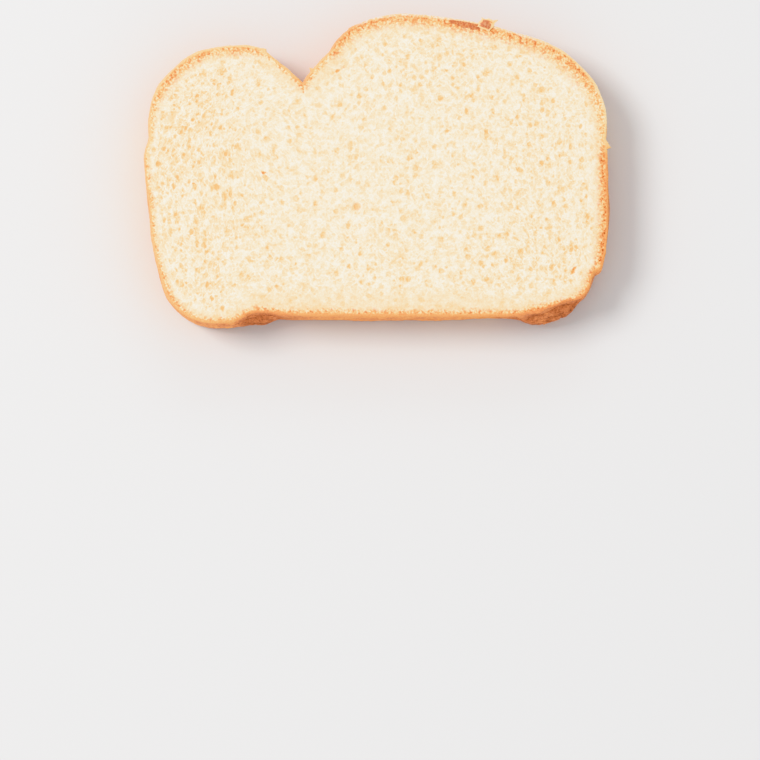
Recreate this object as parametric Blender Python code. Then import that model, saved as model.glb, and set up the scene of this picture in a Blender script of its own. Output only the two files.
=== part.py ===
"""A slice of white sandwich bread lying flat on its cut face.

The slice is one closed solid. Its outline is a chain of arcs (a small lobe, a sharp cleft, a broad dome, two
sides and a foot), and its crust wall is built row by row from the lower cut face to the upper one. Metres, +Z
up, the origin under the middle of the slice, +X along its long side and +Y towards the dome.
"""

import math

import bmesh
import bpy
from mathutils import Vector

MM = 0.001

# Driving dimensions
SLICE_LENGTH = 135.4 * MM     # from the left side to the right side
SLICE_HEIGHT = 91.6 * MM      # from the foot to the top of the dome
SLICE_THICKNESS = 14.0 * MM   # from one cut face to the other
EDGE_ROUND = 0.8 * MM         # how far the knife's edge of the crust is rounded over
WALL_CROWN = 0.35 * MM        # how far the crust wall bows out at half height
WALL_WAVER = 0.22 * MM        # how far the wall wanders in and out along the loaf
WAVER_LENGTH = 23.0 * MM      # from one wave of it to the next, along the outline
WAVER_LEAN = 1.9              # how far the waves lean over the thickness, in radians

# Fineness
ARC_STEP = 0.4 * MM           # spacing of the points that follow the arcs
SOFTENING = 2.0 * MM          # how far to each side a joint between two arcs is smoothed
POINT_SPACING = 1.75 * MM     # spacing of the columns of the wall
ROUND_ROWS = 3                # rows in each rounded edge
WALL_ROWS = 7                 # rows in the wall between the rounded edges

# The outline of the upper cut face in millimetres, clockwise: where each arc starts, and how far it bows out
# from its chord. A sharp start keeps its corner.
OUTLINE = (
    # x, y, bow, sharp start
    (-65.8, 10.0, 6.5, False),    # waist on the left, then the left lobe
    (-49.9, 36.4, 0.8, False),    # top of the left lobe
    (-34.0, 36.9, 0.3, False),    # slope down into the cleft
    (-21.4, 26.0, 0.8, True),     # tip of the cleft
    (-13.6, 36.0, 0.5, False),    # shoulder of the dome
    (-8.8, 42.0, 1.9, False),     # dome, rising
    (12.0, 46.6, 1.1, False),     # dome, its long slope
    (45.0, 39.9, 3.0, False),     # dome, its right shoulder
    (64.9, 23.9, 1.1, False),     # down to the waist on the right
    (66.4, 9.9, 0.5, False),      # right side
    (67.2, -15.7, 0.4, False),    # right side, turning in
    (65.0, -28.5, 0.0, True),     # torn step in the crust
    (62.5, -29.9, 0.3, False),    # below the step
    (61.0, -35.4, 1.1, False),    # dented corner at the lower right
    (52.8, -39.1, 0.2, False),    # from the dent to the foot
    (41.0, -42.2, 0.25, False),   # foot, nearly straight
    (-27.5, -42.0, 0.0, False),   # up to the dent over the lower left heel
    (-30.5, -41.4, 0.0, False),   # the dent
    (-36.6, -41.4, 0.0, False),   # down to the lower left bulge
    (-41.3, -44.1, 0.0, False),   # bottom of the bulge
    (-47.0, -44.3, 2.45, False),  # round the lower left corner
    (-60.8, -36.1, 1.1, False),   # left side, rising
    (-66.3, -9.3, 0.1, False),    # left side, upper part
    (-67.7, 4.0, 0.4, False),     # in to the waist
)

# Where the crust swells out under the upper cut face, in millimetres: the middle of the swell, its reach to
# each side along the outline, how far it stands out (less than 0 where the crust is drawn in), the height at
# which it is fullest, and how steep its ends are, from 2 for soft ones.
SWELLS = (
    # x, y, reach, out, height, ends
    (49.8, -40.6, 10.2, 3.8, 4.5, 3),     # heel at the lower right, under the dented corner
    (36.0, -42.3, 28.0, -0.85, 7.0, 2),   # foot beside it
    (-35.0, -41.6, 7.0, 2.6, 5.0, 3),     # heel at the lower left
    (-44.5, -44.2, 6.5, 0.4, 5.0, 3),     # rim below the lower left corner
    (20.0, 45.8, 34.0, 0.8, 6.0, 2),      # dome
    (-45.0, 36.9, 16.0, 0.5, 6.0, 2),     # left lobe
    (67.0, -8.0, 16.0, 0.3, 6.0, 2),      # right side
)
SWELL_TOP = 0.82      # share of the thickness above which no swell stands out
SWELL_AT_FOOT = 0.55  # share of a swell that is left at the lower cut face

CRUST_COLOUR = (0.78, 0.40, 0.15, 1.0)
CRUST_ROUGHNESS = 0.6
SHARP_ANGLE = math.radians(50)


def clear_scene():
    for thing in list(bpy.data.objects):
        bpy.data.objects.remove(thing, do_unlink=True)


def arc_points(start, end, bow):
    """Points along an arc from start to just before end, which stands bow to the left of its chord."""
    chord = end - start
    steps = max(2, round(chord.length / ARC_STEP))
    if bow == 0.0:
        return [start.lerp(end, i / steps) for i in range(steps)]
    left = Vector((-chord.y, chord.x)).normalized()
    half = chord.length / 2
    radius = (half * half + bow * bow) / (2 * abs(bow))
    spread = 2 * math.asin(min(1.0, half / radius))
    side = math.copysign(1.0, bow)
    centre = (start + end) / 2 + left * (bow - side * radius)
    spoke = start - centre
    turn = -side * spread
    points = []
    for i in range(steps):
        a = turn * i / steps
        points.append(centre + Vector((
            spoke.x * math.cos(a) - spoke.y * math.sin(a),
            spoke.x * math.sin(a) + spoke.y * math.cos(a),
        )))
    return points


def chained_arcs():
    """The whole outline as closely spaced points, and which of them are sharp corners."""
    points, sharp = [], []
    for i, (x, y, bow, is_sharp) in enumerate(OUTLINE):
        following = OUTLINE[(i + 1) % len(OUTLINE)]
        start = Vector((x, y)) * MM
        end = Vector((following[0], following[1])) * MM
        run = arc_points(start, end, bow * MM)
        sharp += [is_sharp] + [False] * (len(run) - 1)
        points += run
    return points, sharp


def softened(points, sharp):
    """The outline with each joint smoothed over SOFTENING, less and less towards a sharp corner."""
    count = len(points)
    corners = [i for i in range(count) if sharp[i]]
    most = round(SOFTENING / ARC_STEP)
    smooth = []
    for i in range(count):
        gap = min(min((i - c) % count, (c - i) % count) for c in corners)
        reach = min(most, gap)
        total = Vector((0.0, 0.0))
        weight = 0.0
        for step in range(-reach, reach + 1):
            share = 1.0 + math.cos(math.pi * step / (reach + 1))
            total += points[(i + step) % count] * share
            weight += share
        smooth.append(total / weight)
    return smooth, corners


def spaced(points, corners):
    """The outline as evenly spaced columns, with one on each sharp corner."""
    count = len(points)
    columns = []
    for first, last in zip(corners, corners[1:] + [corners[0] + count]):
        run = [points[i % count] for i in range(first, last + 1)]
        along = [0.0]
        for a, b in zip(run, run[1:]):
            along.append(along[-1] + (b - a).length)
        pieces = max(2, round(along[-1] / POINT_SPACING))
        k = 0
        for piece in range(pieces):
            target = along[-1] * piece / pieces
            while along[k + 1] < target:
                k += 1
            share = (target - along[k]) / (along[k + 1] - along[k])
            columns.append(run[k].lerp(run[k + 1], share))
    return columns


def outward_normals(columns):
    """For each column, the direction straight out of the crust."""
    count = len(columns)
    normals = []
    for i in range(count):
        run = columns[(i + 1) % count] - columns[i - 1]
        normals.append(Vector((-run.y, run.x)).normalized())
    return normals


def distances(columns):
    """How far along the outline each column is, and last the whole way round."""
    along = [0.0]
    for a, b in zip(columns, columns[1:] + columns[:1]):
        along.append(along[-1] + (b - a).length)
    return along


def swell_at(point, level):
    """How far the swells stand out at a point of the outline and a level from 0, the lower face, to 1."""
    total = 0.0
    for x, y, reach, out, height, ends in SWELLS:
        near = (point - Vector((x, y)) * MM).length / (reach * MM)
        if near >= 1.0:
            continue
        fullest = height * MM / SLICE_THICKNESS
        if level > SWELL_TOP:
            share = 0.0
        elif level > fullest:
            share = math.cos(math.pi / 2 * (level - fullest) / (SWELL_TOP - fullest)) ** 2
        else:
            share = SWELL_AT_FOOT + (1.0 - SWELL_AT_FOOT) * math.sin(math.pi / 2 * level / fullest)
        total += out * MM * share * (1.0 - near ** ends) ** 2
    return total


def wall_levels():
    """Each row of the wall: its height, and how far its rounded edge is drawn in."""
    rows = []
    for i in range(ROUND_ROWS):
        a = math.pi / 2 * i / ROUND_ROWS
        rows.append((EDGE_ROUND * (1.0 - math.cos(a)), EDGE_ROUND * (1.0 - math.sin(a))))
    straight = SLICE_THICKNESS - 2 * EDGE_ROUND
    middle = [(EDGE_ROUND + straight * i / WALL_ROWS, 0.0) for i in range(WALL_ROWS + 1)]
    upper = [(SLICE_THICKNESS - height, inset) for height, inset in reversed(rows)]
    return rows + middle + upper


def wall_rings():
    """The rows of the wall, from the lower cut face up, each a ring of points over the outline's columns."""
    smooth, corners = softened(*chained_arcs())
    columns = spaced(smooth, corners)
    normals = outward_normals(columns)
    along = distances(columns)
    waves = round(along[-1] / WAVER_LENGTH)
    rings = []
    for height, inset in wall_levels():
        level = height / SLICE_THICKNESS
        crown = WALL_CROWN * math.sin(math.pi * level)
        ring = []
        for point, normal, distance in zip(columns, normals, along):
            phase = 2 * math.pi * waves * distance / along[-1] + WAVER_LEAN * level
            waver = WALL_WAVER * math.sin(phase) * math.sin(math.pi * level)
            place = point + normal * (crown + waver + swell_at(point, level) - inset)
            ring.append(Vector((place.x, place.y, height)))
        rings.append(ring)
    return rings


def fitted(rings):
    """The rings brought to the slice's length and height, with their box centred on the origin in plan."""
    every = [p for ring in rings for p in ring]
    low = Vector((min(p.x for p in every), min(p.y for p in every)))
    high = Vector((max(p.x for p in every), max(p.y for p in every)))
    middle = (low + high) / 2
    across = SLICE_LENGTH / (high.x - low.x)
    up = SLICE_HEIGHT / (high.y - low.y)
    return [
        [Vector(((p.x - middle.x) * across, (p.y - middle.y) * up, p.z)) for p in ring]
        for ring in rings
    ]


def slice_mesh():
    bm = bmesh.new()
    rings = [[bm.verts.new(p) for p in ring] for ring in fitted(wall_rings())]
    count = len(rings[0])
    for lower, upper in zip(rings, rings[1:]):
        for i in range(count):
            j = (i + 1) % count
            bm.faces.new((lower[j], lower[i], upper[i], upper[j]))
    caps = [bm.faces.new(rings[0]), bm.faces.new(list(reversed(rings[-1])))]
    bmesh.ops.triangulate(bm, faces=caps)
    bmesh.ops.recalc_face_normals(bm, faces=bm.faces)
    mesh = bpy.data.meshes.new("bread_slice")
    bm.to_mesh(mesh)
    bm.free()
    mesh.shade_smooth()
    mesh.set_sharp_from_angle(angle=SHARP_ANGLE)
    return mesh


def crust_material():
    material = bpy.data.materials.new("crust")
    material.use_nodes = True
    shader = material.node_tree.nodes["Principled BSDF"]
    shader.inputs["Base Color"].default_value = CRUST_COLOUR
    shader.inputs["Roughness"].default_value = CRUST_ROUGHNESS
    shader.inputs["Metallic"].default_value = 0.0
    return material


def build_slice():
    mesh = slice_mesh()
    mesh.materials.append(crust_material())
    bread = bpy.data.objects.new("bread_slice", mesh)
    bpy.context.collection.objects.link(bread)


clear_scene()
build_slice()
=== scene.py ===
"""The looks of a slice of white sandwich bread: open crumb on both cut faces, baked crust round it."""
import math

import bmesh
import bpy
import numpy as np
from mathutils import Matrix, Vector, geometry, kdtree
from mathutils.bvhtree import BVHTree


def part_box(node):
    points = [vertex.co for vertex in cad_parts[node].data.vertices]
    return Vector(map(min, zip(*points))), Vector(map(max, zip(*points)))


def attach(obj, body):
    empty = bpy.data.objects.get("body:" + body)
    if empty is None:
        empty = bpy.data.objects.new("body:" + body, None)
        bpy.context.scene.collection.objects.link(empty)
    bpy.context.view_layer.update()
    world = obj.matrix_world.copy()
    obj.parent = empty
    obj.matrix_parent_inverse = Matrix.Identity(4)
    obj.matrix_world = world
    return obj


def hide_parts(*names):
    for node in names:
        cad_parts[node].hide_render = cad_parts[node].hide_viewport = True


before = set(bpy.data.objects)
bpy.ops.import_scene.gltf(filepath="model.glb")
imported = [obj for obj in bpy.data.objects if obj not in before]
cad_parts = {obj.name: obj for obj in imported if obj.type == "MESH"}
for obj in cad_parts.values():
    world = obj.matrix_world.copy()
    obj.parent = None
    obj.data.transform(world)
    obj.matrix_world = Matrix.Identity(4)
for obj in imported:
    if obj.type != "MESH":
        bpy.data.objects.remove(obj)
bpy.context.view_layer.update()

MM = 0.001
NODE = "bread_slice"

# ---- sizes, in millimetres unless they say otherwise

SOLID_ROUND = 0.8  # rounding of the solid's edges
EDGE_ROUND = 0.45  # rounding of the knife's edge, sharper than the solid's
COLUMN_SPACING = 0.36  # columns of the crust wall, along the outline
ROW_SPACING = 0.40  # rows of the crust wall
ROUND_ROWS = 4  # rows in each rounded edge
CRUMB_SPACING = 0.372  # points of a cut face
CRUMB_JITTER = 0.13  # how far a point strays from its lattice, as a share of the spacing
CRUMB_GAP = 0.6  # how far clear of the rounded edge the points stay, in spacings
SAME_POINT = 1e-6  # points of a cut face that are this close are one
PATTERN_SHIFT = 10.0  # how far apart the two cut faces are in the crumb's pattern
RAY_DEPTH = 4.0  # how deep inside the bread a ray towards the crust starts
NORMAL_REACH = 1.1  # length of outline over which a column's direction is taken
FINE_SHARE = 4  # finer points between two columns, for measuring distances
RIM_GAP = 0.05  # how far clear of its rounded edges the outline is read from the solid
WELD = 1e-7  # metres: points of the solid's triangles that are this close are one

FLOW_STRETCH = 0.4  # how much narrower cells are across the crust right beside it
FLOW_REACH = 13.0  # how far in from the crust that fades
FLOW_RISE = 0.84  # height of a cell in the pattern, as a share of its height in the slice
FLOW_CELL = 1.5  # cell of the coarse grid that the flow is smoothed on
FLOW_BLUR = 8  # rounds of smoothing
CLEFT = (-21.4, 26.0)  # tip of the cleft, round which the flow is left out
CLEFT_REACH = 9.0  # how far out from it that fades
SLANT_MIDDLE = (-46.0, 18.0)  # middle of the part of the crumb whose cells lean
SLANT_REACH = 18.0  # how far out from it that fades
SLANT_ANGLE = math.radians(38)  # direction in which those cells are long
SLANT_SQUEEZE = 0.6  # how much narrower they are across it

CALM_LEAST = 0.3  # how open the crumb still is right beside the crust
CALM_START = 0.2  # share of the calm width at which it starts to open
CALM_FADE = 0.9  # share of it over which it does
DISH = 0.12  # how far the cut face wanders up and down
PORE_DEPTH = 0.45  # depth of the deepest pores
SKIN_DEPTH = 0.7  # share of the skin's pattern that is real relief
DENT_DEPTH = 0.9  # how far the skin's dents go in and out

# Zones of the crust, weighed by how near they are: middle x and y, reach, width of the browned ring on
# the cut face, how dark that ring, the rounded edge and the skin are, from 0 (crumb) to 1 (dark brown),
# gloss, and how far in from the crust the crumb stays dense and smooth.
ZONES = (
    # x, y, reach, ring, ring tone, edge tone, skin tone, gloss, calm
    (-65.8, 8.5, 4.5, 0.8, 0.08, 0.26, 0.44, 0.1, 1.8),  # waist on the left
    (-66.3, -12.0, 20.0, 1.8, 0.29, 0.42, 0.50, 0.1, 3.5),  # left side
    (-60.0, -38.5, 9.0, 2.2, 0.40, 0.45, 0.56, 0.1, 4.0),  # lower left corner
    (-47.0, -46.3, 8.0, 1.6, 0.37, 0.47, 0.66, 0.1, 5.0),  # under the lower left corner
    (-32.6, -43.2, 7.0, 2.1, 0.52, 0.67, 0.87, 0.1, 7.5),  # heel at the lower left
    (5.0, -44.0, 32.0, 2.2, 0.48, 0.55, 0.62, 0.1, 10.0),  # foot
    (51.5, -41.2, 9.5, 2.1, 0.55, 0.70, 0.81, 0.1, 7.0),  # heel at the lower right
    (62.3, -33.5, 4.0, 2.1, 0.49, 0.53, 0.68, 0.1, 4.5),  # below the torn step
    (67.2, -11.0, 13.0, 3.4, 0.57, 0.58, 0.66, 0.2, 6.0),  # right side
    (66.7, 9.0, 3.5, 2.1, 0.30, 0.26, 0.52, 0.2, 5.5),  # waist on the right
    (66.0, 17.0, 6.0, 4.0, 0.21, 0.13, 0.50, 0.3, 6.5),  # above it
    (58.0, 31.0, 10.0, 5.2, 0.45, 0.20, 0.62, 0.6, 6.0),  # right shoulder of the dome
    (38.0, 40.0, 11.0, 4.5, 0.48, 0.25, 0.66, 0.8, 6.5),  # long slope of the dome
    (7.0, 45.2, 12.0, 4.1, 0.48, 0.26, 0.62, 0.9, 7.5),  # top of the dome
    (-9.5, 39.5, 5.0, 4.0, 0.48, 0.52, 0.62, 0.5, 8.0),  # shoulder beside the cleft
    (-17.5, 30.5, 3.5, 2.3, 0.28, 0.34, 0.58, 0.2, 8.5),  # right side of the cleft
    (-21.2, 25.0, 2.0, 2.0, 0.44, 0.48, 0.66, 0.1, 4.5),  # tip of the cleft
    (-27.5, 30.0, 4.5, 1.7, 0.28, 0.36, 0.60, 0.2, 4.5),  # left side of the cleft
    (-42.0, 35.8, 8.0, 3.3, 0.41, 0.24, 0.62, 0.5, 5.5),  # top of the left lobe
    (-60.0, 27.5, 8.0, 4.0, 0.43, 0.28, 0.58, 0.3, 5.5),  # shoulder of the left lobe
    (-66.2, 15.0, 4.0, 3.2, 0.19, 0.36, 0.54, 0.1, 5.0),  # side of the left lobe
)
ZONE_NAMES = ("ring_width", "ring_tone", "edge_tone", "skin_tone", "gloss", "calm_width")
ZONE_LIMIT = 60.0  # squared reaches beyond which a zone weighs no less
ZONE_TRACE = 1e-9  # weight that counts where all zones are far

# How open the crumb is, over or under its usual 1: middle x and y, reach, how much more or less.
OPENNESS = (
    (-54.0, -8.0, 19.0, 0.42),  # left side
    (-54.0, 18.0, 15.0, 0.48),  # left lobe
    (48.0, 4.0, 20.0, 0.25),  # right side
    (5.0, 8.0, 22.0, -0.05),  # middle
    (15.0, 32.0, 20.0, 0.20),  # dome
    (46.0, -28.0, 15.0, 0.45),  # lower right
    (-46.0, -30.0, 13.0, 0.25),  # lower left
    (0.0, -32.0, 20.0, 0.15),  # above the foot
)

# Where the looks' outline is drawn in from the solid's: middle x and y, reach, how far.
TRIMS = (
    (-59.8, 28.6, 9.0, 0.72),  # shoulder of the left lobe
    (-66.3, 12.0, 8.0, 0.20),  # side of the left lobe
    (-66.2, -14.5, 6.0, 0.32),  # left side
    (-17.0, 31.5, 5.0, 0.42),  # right side of the cleft
    (-10.5, 38.8, 4.0, 0.26),  # shoulder beside it
    (57.0, 31.5, 9.0, 0.36),  # right shoulder of the dome
    (67.0, -8.5, 7.0, 0.30),  # right side
)

# Spurs, ledges and hollows of the crust: x, y and height of the tip, length before and after it going
# clockwise, half the height, and how far it stands out, less than 0 for a hollow.
SPURS = (
    (-19.1, 28.9, 13.6, 0.8, 0.3, 1.6, 1.1),  # in the cleft
    (67.6, 5.8, 13.4, 3.2, 0.4, 2.0, 1.8),  # on the right side
    (67.6, 5.0, 12.6, 0.6, 9.0, 6.0, 0.5),  # ledge under it
    (-28.6, -43.8, 8.0, 1.0, 1.0, 1.5, 0.6),  # lip at the foot
    (62.9, -30.7, 13.5, 1.3, 2.4, 12.0, -0.5),  # hollow below the torn step
    (54.6, -38.2, 14.0, 5.0, 4.2, 4.5, -1.0),  # dent in the rim over the lower right heel
    (46.3, -41.4, 14.0, 4.2, 4.8, 4.5, 0.7),  # rim standing out beside it
    (24.0, -43.0, 12.0, 0.8, 0.8, 1.2, 0.5),  # crumb at the foot
    (-32.4, 34.6, 13.4, 2.6, 0.7, 2.0, 0.7),  # end of the crust on top of the lobe
    (-8.0, 40.2, 13.6, 0.7, 3.0, 2.5, 0.4),  # ledge where the dome's crust begins
)

SPUR_TAPER = 1.5  # above 1, a spur's sides are hollow and its tip is thin

# Folds in the skin of the heels, with painted shade at their bottom: middle x, y and height, reach along
# the outline, half width, depth.
FOLDS = (
    (54.5, -38.2, 9.5, 6.5, 1.3, 0.85),  # under the dent at the lower right
    (49.0, -41.0, 7.0, 6.0, 0.5, 0.15),  # in the heel at the lower right
    (-30.6, -42.4, 9.5, 4.0, 0.9, 0.40),  # at the end of the lower left heel
)
FOLD_WAVER = 0.5  # how far a fold wanders up and down
FOLD_WAVE = 0.55  # radians of it for each millimetre along the outline
FOLD_SHADE = 1.00  # painted shade: how dark the bottom of a fold is painted

# Stretches of the skin that are crumpled: middle x and y, reach, how much.
CRUMPLED = (
    (50.0, -41.0, 13.0, 1.0),  # heel at the lower right
    (-36.0, -43.0, 11.0, 0.8),  # heel at the lower left
    (-9.0, 40.0, 8.0, 0.5),  # shoulder beside the cleft
    (-60.0, -38.0, 12.0, 0.35),  # lower left corner
)
CRUMPLE_LEAST = 0.15  # how crumpled the rest of the skin is
CRUMPLE_DEPTH = 0.26  # depth of the crumpled skin's creases

# Single holes in the upper cut face: x, y, half length, half width, angle in degrees, depth, how brown.
HOLES = (
    (-6.1, -11.4, 1.55, 1.35, 20.0, 0.8, 0.14),  # round pore near the middle
    (56.6, -29.9, 1.3, 0.45, 55.0, 0.6, 0.48),  # browned pore at the lower right
    (-59.6, 14.6, 2.6, 1.5, 60.0, 0.5, 0.05),  # shallow hollow in the left lobe
    (-50.8, 12.9, 2.1, 0.9, 35.0, 0.5, 0.10),  # long pore beside it
    (-21.4, 22.7, 1.2, 0.22, 92.0, 0.5, 0.60),  # crack below the cleft
    (-11.5, 28.3, 0.9, 0.55, 40.0, 0.4, 0.52),  # browned mark by the shoulder
    (-9.8, 29.4, 1.9, 0.6, 38.0, 0.3, 0.16),  # trail beside it
    (-32.9, -1.4, 0.45, 0.35, 0.0, 0.3, 0.75),  # small brown fleck
    (-53.0, -4.5, 0.30, 0.25, 0.0, 0.3, 0.65),  # another
)

# Patches where the dome's skin has peeled: as in HOLES, but with how bare the crust is there at the end.
PEELED = (
    (22.6, 42.6, 2.0, 0.85, -11.0, 0.12, 0.85),
    (25.2, 42.0, 2.6, 1.25, -11.0, 0.15, 1.0),
    (28.0, 41.4, 2.2, 1.25, -11.0, 0.15, 0.9),
)
PEEL_START = 0.3  # share of the rounded edge, from the wall in, that a patch leaves as it is

HOLE_END = 1.25  # where a hole's side ends, in half lengths and widths; the side is 1 across
STAIN_END = 1.10  # where its brown ends
STAIN_FADE = 0.35  # over how much that fades
HOLE_WAVER = 0.14  # how far its border wavers
HOLE_WAVES = ((2.9, 1.7), (-2.3, 3.3))  # radians of that for each millimetre of x and y

# The flake of crust that stands up at the dome's edge: plan corners, from the inner left one clockwise.
FLAKE_CORNERS = ((28.9, 41.2), (30.5, 43.8), (34.9, 43.0), (32.6, 39.7))
FLAKE_STEPS = 16  # cells to each side
FLAKE_BORDER = 0.25  # width of its border, as a share of the flake
FLAKE_RISE = 0.45  # how far it arches up from the cut face
FLAKE_ARCH = (0.12, 0.92)  # where in half a wave the arch starts and ends
FLAKE_CURL = 0.3  # how much more or less it arches along its length
FLAKE_CURL_WAVE = 5.0  # radians of that
FLAKE_THICKNESS = 0.4
FLAKE_THIN = 0.3  # share of its thickness that is left at its border
FLAKE_FRAY = 0.16  # how far its border wavers
FLAKE_WAVES = ((3.0, 11.0), (13.0, 2.0))  # radians of that over its length and over its width
FLAKE_BARE = 1.6  # how fast the bare crust begins, from its border and from its far corner
FLAKE_BARE_BORDER = 0.3  # how far from the border
FLAKE_BARE_CORNER = 2.7  # how far from the corner
FLAKE_LOOK = (30.0, 0.40, 0.20, 0.60, 0.5, 1.0)  # as in ZONES, from the ring's width on

# Maps for baking: shares of a map that stay free at its sides.
MAP_NAME = "OFBake"
FACE_MARGIN = 0.004  # beside a cut face
WALL_STRIPS = 5  # strips that the wall's map is folded into
STRIP_MARGIN = 0.03  # beside a strip, as a share of it
FLAKE_MARGIN = 0.02  # beside each side of the flake

# Noise patterns: cells for each millimetre, detail, roughness.
CRUMB_BEND = (0.95, 2.0, 0.55)  # bends the crumb's cells
STRAND_DETAIL = (1.0, 0.4)  # detail and roughness of a net's strands
DISH_WAVE = (0.07, 2.0, 0.5)  # the cut face's slow waves
CLOUD = (0.45, 3.0, 0.6)  # lighter and darker patches of crumb
FINE = (1.9, 3.0, 0.7)  # finest grain of crumb and crust
RAGGED = (0.5, 4.0, 0.65)  # ragged border of the browned ring
FRAYED = (1.5, 1.0, 0.5)  # its finer fraying
GRAIN = (2.1, 2.0, 0.6)  # grain of the crust's tone
BLOTCH = (0.65, 3.0, 0.6)  # blotches
MOTTLE = (0.22, 4.0, 0.62)  # the widest ones
WRINKLES = (1.0, 3.0, 0.55)  # wrinkles of the skin
SKIN_GRAIN = (1.3, 3.0, 0.6)  # its relief
DENTS = (0.14, 2.0, 0.5)  # its dents
CREASE_BEND = (0.35, 2.0, 0.5)  # bends the creases of crumpled skin
PEEL_RAGS = (1.7, 2.0, 0.6)  # ragged border of a peeled patch

# Specks and patches: their noise, its low and high ends, and what those become.
NET_PATCHES = ((0.55, 1.0, 0.5), 0.30, 0.70, 0.35, 1.0)  # how strong the net of cells is
GRIT = ((1.65, 1.0, 0.5), 0.40, 0.60, -0.5, 0.5)  # in the crust's tone
CLUMP = ((0.95, 2.0, 0.6), 0.47, 0.56, -0.4, 0.6)  # larger ones
PEEL_MOTTLE = ((2.2, 1.0, 0.5), 0.38, 0.62, 0.75, 1.0)  # how bare a peeled patch is
PAINTED_GLINT_SPECKS = ((1.6, 1.0, 0.5), 0.46, 0.60, 0.0, 0.60)  # specks of the painted sheen

# The crumb's nets and pits: how much they are bent and their own shift in the pattern. Then, for a net,
# cells for each millimetre and width of a strand. For pits, the cell in millimetres, and as shares of it
# the smallest radius (below 0 some cells stay empty), the largest, and the soft side.
LARGE_NET = (1.3, (0.0, 0.0, 0.0), 0.42, 0.12)
SMALL_NET = (1.3, (3.3, 29.0, 7.7), 0.95, 0.14)
PORES = (0.9, (13.7, 5.1, 2.9), 1.9, -0.15, 0.60, 0.26)
DEEP_PORES = (0.9, (21.0, 9.4, 33.0), 3.3, -0.55, 0.42, 0.24)
HOLLOWS = (0.0, (7.0, 1.3, 51.0), 5.0, -0.25, 0.40, 0.20)
FINE_PORES = (1.3, (2.7, 44.0, 12.0), 1.15, -0.25, 0.56, 0.28)
COARSE_PITS = ((PORES, 0.42), (DEEP_PORES, 0.36), (HOLLOWS, 0.14))  # with how deep they are
LARGE_NET_DEPTH = 0.34
SMALL_NET_DEPTH = 0.22
FINE_PORE_DEPTH = 0.26
SMALL_RELIEF = 0.3  # share of the small cells that is real relief
PATCH_SHIFT = (5.1, 3.3, 17.0)
RELIEF_FADE = 1.4  # how far in from the rounded edge the relief begins

# The skin's relief.
WRINKLE_STRETCH = (0.32, 0.32, 0.9)
WRINKLE_DEPTH = 1.1
GRAIN_HEIGHT = 0.28
SKIN_PITS = (1.9, -0.35, 0.30, 0.16)  # cell, smallest and largest radius, soft side
SKIN_PIT_DEPTH = 0.16
SKIN_LIFT = 0.05
CREASE_STRETCH = (0.8, 0.8, 1.5)
CREASE_WANDER = 2.5
CREASE_NET = (0.22, 0.10)  # cells for each millimetre, width of a crease


def srgb(*levels):
    """A display colour from 0 to 255 as the linear colour that shaders use."""
    shares = [level / 255 for level in levels]
    return (*(c / 12.92 if c <= 0.04045 else ((c + 0.055) / 1.055) ** 2.4 for c in shares), 1.0)


# Colours of the crumb, from the bottom of a pore to the top of a cell's wall
CRUMB_COLOURS = (
    (0.00, srgb(247, 198, 130)),
    (0.25, srgb(246, 212, 158)),
    (0.50, srgb(246, 225, 188)),
    (0.75, srgb(248, 236, 213)),
    (1.00, srgb(252, 246, 234)),
)

# Colours of the crust, from hardly browned to dark
CRUST_COLOURS = (
    (0.00, srgb(252, 238, 208)),
    (0.18, srgb(252, 222, 168)),
    (0.36, srgb(251, 204, 136)),
    (0.52, srgb(249, 180, 106)),
    (0.64, srgb(234, 153, 92)),
    (0.73, srgb(213, 134, 86)),
    (0.82, srgb(199, 117, 69)),
    (1.00, srgb(140, 76, 42)),
)
PAINTED_GLINT_COLOUR = srgb(220, 227, 232)  # painted sheen on the rim of the dome: pale specks that stand in for highlights
PEELED_COLOUR = srgb(182, 108, 76)  # bare crust where the skin has peeled

# How light the crumb is, as a place in its colours.
LIGHT_MOST = 0.94
PIT_SHADE = 0.86  # less at the bottom of a pit, as painted shade
HOLE_SHADE = 1.1  # and so much more of that in a single hole
DENSE_SHADE = 0.54  # less where the crumb is dense
CLOUD_SHADE = 0.90
FINE_SHADE = 0.80

# Patterns added to the crust's tone, and how much of each.
RING_PATTERNS = {"grain": 0.52, "grit": 0.32, "clump": 0.30}
EDGE_GRAIN = 0.5
SKIN_PATTERNS = {"mottle": 0.48, "blotch": 0.34, "grain": 0.50, "clump": 0.06}
STAIN_AND_FOLD_SHADE_GRAIN = 0.6
# painted shade in the skin's pits
SKIN_PIT_SHADE = 0.14
# painted shade in the creases of crumpled skin
CREASE_SHADE = 0.12

# Where it is browned: low and high ends of each change.
RAGGED_REACH = 3.0  # how far the ring's border wanders
FRAYED_REACH = 1.5  # how far it is frayed
RING_END = (0.40, 1.25)  # shares of the ring's width over which it ends
RING_FADE = (0.2, 1.0)  # shares of it over which it gets lighter
RING_LEAST = 0.5  # how dark it still is there
EDGE_END = (0.3, 3.6)  # depths over which the edge's tone gives way to the skin's
KNIFE_EDGE = (0.25, 0.85)  # insets over which the rounded edge gives way to the ring
STAIN_SIDES = (0.03, 0.25)
PEEL_SIDES = (0.25, 0.75)
PEEL_RAG_REACH = 1.2

# Where the painted sheen shows.
PAINTED_GLINT_GLOSS = (0.55, 0.85)
PAINTED_GLINT_ENDS = {"inset": (0.25, 0.95), "below": (0.5, 1.6), "peeled": (0.0, 0.3)}

CRUST_ROUGHNESS = (0.66, 0.36)  # where it is dull, where it is glossy
CRUST_ROUGH_GRAIN = 0.25
CRUMB_BUMP = 0.30  # finest grain of the crumb in its bump
CELL_BUMP = 0.6  # its small cells
SKIN_BUMP = 0.08  # finest grain of the skin


# ---- the frame's shape

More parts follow.
